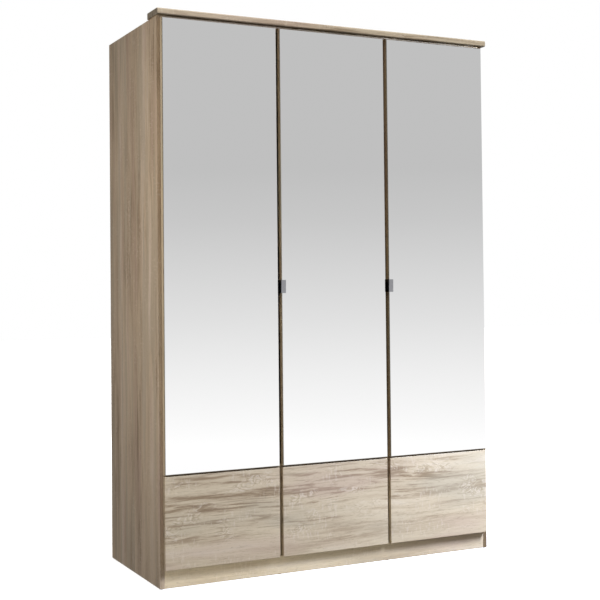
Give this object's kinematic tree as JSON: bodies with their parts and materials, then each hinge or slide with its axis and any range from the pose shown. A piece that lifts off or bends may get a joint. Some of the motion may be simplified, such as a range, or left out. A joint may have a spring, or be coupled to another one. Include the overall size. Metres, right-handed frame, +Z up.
{
  "type": "wardrobe with doors",
  "caption": "Wardrobe with mirrored hinged doors over a row of drawers, with a hanging space, a shelf column and a plinth.",
  "frame": {"origin": "on the floor, at the centre of the overall box seen from above", "axes": "+Z up, the doors and drawers face -Y, +X to the right of somebody facing them"},
  "size_m": [1.36, 0.58, 1.99],
  "materials": {
    "oak": "light sawn-oak melamine foil, matt, with rough cross saw marks",
    "oak_inner": "the same oak foil on the inner boards, matt",
    "mirror": "float glass mirror with polished edges",
    "handle_metal": "satin silver",
    "fitting_steel": "nickel plated",
    "runner_steel": "pale powder coat",
    "rail_chrome": "polished",
    "soft_plastic": "matt",
    "strip_plastic": "matt",
    "hardboard": "lacquered fibreboard"
  },
  "bodies": {
    "carcass": {"side_left": "oak", "side_right": "oak", "drawer_divider": "oak_inner", "partition": "oak_inner", "base_board": "oak_inner", "plinth_boards": "oak", "top_panel": "oak_inner", "deck_wide": "oak_inner", "deck_narrow": "oak_inner", "hat_shelf": "oak_inner", "shelf_low": "oak_inner", "shelf_mid": "oak_inner", "shelf_high": "oak_inner", "shelf_pins": "fitting_steel", "clothes_rail": "rail_chrome", "rail_brackets": "rail_chrome", "cornice": "oak", "back_left": "hardboard", "back_middle": "hardboard", "back_right": "hardboard", "back_strips": "strip_plastic", "back_nails": "fitting_steel", "floor_glides": "soft_plastic", "cam_fittings": "fitting_steel", "hinge_plates": "fitting_steel", "hinge_arms": "fitting_steel", "cabinet_runners": "runner_steel", "wall_brackets": "fitting_steel", "door_bumpers": "soft_plastic"},
    "door_left": {"door_left_board": "oak", "door_left_mirror": "mirror", "door_left_cups": "fitting_steel"},
    "hinge_links_left": {"door_left_links": "fitting_steel"},
    "drawer_left": {"drawer_left_front": "oak", "drawer_left_sides": "oak_inner", "drawer_left_back": "oak_inner", "drawer_left_bottom": "hardboard", "drawer_left_runners": "runner_steel"},
    "door_middle": {"door_middle_board": "oak", "door_middle_mirror": "mirror", "door_middle_cups": "fitting_steel", "door_middle_handle": "handle_metal", "door_middle_screws": "fitting_steel"},
    "hinge_links_middle": {"door_middle_links": "fitting_steel"},
    "drawer_middle": {"drawer_middle_front": "oak", "drawer_middle_sides": "oak_inner", "drawer_middle_back": "oak_inner", "drawer_middle_bottom": "hardboard", "drawer_middle_runners": "runner_steel"},
    "door_right": {"door_right_board": "oak", "door_right_mirror": "mirror", "door_right_cups": "fitting_steel", "door_right_handle": "handle_metal", "door_right_screws": "fitting_steel"},
    "hinge_links_right": {"door_right_links": "fitting_steel"},
    "drawer_right": {"drawer_right_front": "oak", "drawer_right_sides": "oak_inner", "drawer_right_back": "oak_inner", "drawer_right_bottom": "hardboard", "drawer_right_runners": "runner_steel"}
  },
  "joints": [
    {"name": "door_left_swing", "type": "hinge", "parent": "carcass", "child": "door_left", "pos_m": [-0.66, -0.274, 1], "axis": [0, 0, -1], "range_deg": [0, 95]},
    {"name": "door_middle_swing", "type": "hinge", "parent": "carcass", "child": "door_middle", "pos_m": [0.21367, -0.274, 1], "axis": [0, 0, 1], "range_deg": [0, 95]},
    {"name": "door_right_swing", "type": "hinge", "parent": "carcass", "child": "door_right", "pos_m": [0.66, -0.274, 1], "axis": [0, 0, 1], "range_deg": [0, 95]},
    {"name": "hinge_links_left_turn", "type": "hinge", "parent": "carcass", "child": "hinge_links_left", "pos_m": [-0.6425, -0.2595, 1], "axis": [0, 0, -1], "range_deg": [0, 91]},
    {"name": "hinge_links_middle_turn", "type": "hinge", "parent": "carcass", "child": "hinge_links_middle", "pos_m": [0.19617, -0.2595, 1], "axis": [0, 0, 1], "range_deg": [0, 91]},
    {"name": "hinge_links_right_turn", "type": "hinge", "parent": "carcass", "child": "hinge_links_right", "pos_m": [0.6425, -0.2595, 1], "axis": [0, 0, 1], "range_deg": [0, 91]},
    {"name": "drawer_left_slide", "type": "slide", "parent": "carcass", "child": "drawer_left", "axis": [0, -1, 0], "range_m": [0, 0.35]},
    {"name": "drawer_middle_slide", "type": "slide", "parent": "carcass", "child": "drawer_middle", "axis": [0, -1, 0], "range_m": [0, 0.35]},
    {"name": "drawer_right_slide", "type": "slide", "parent": "carcass", "child": "drawer_right", "axis": [0, -1, 0], "range_m": [0, 0.35]}
  ],
  "couplings": [
    {"joint": "hinge_links_left_turn", "follows": "door_left_swing", "ratio": 0.95},
    {"joint": "hinge_links_middle_turn", "follows": "door_middle_swing", "ratio": 0.95},
    {"joint": "hinge_links_right_turn", "follows": "door_right_swing", "ratio": 0.95}
  ]
}
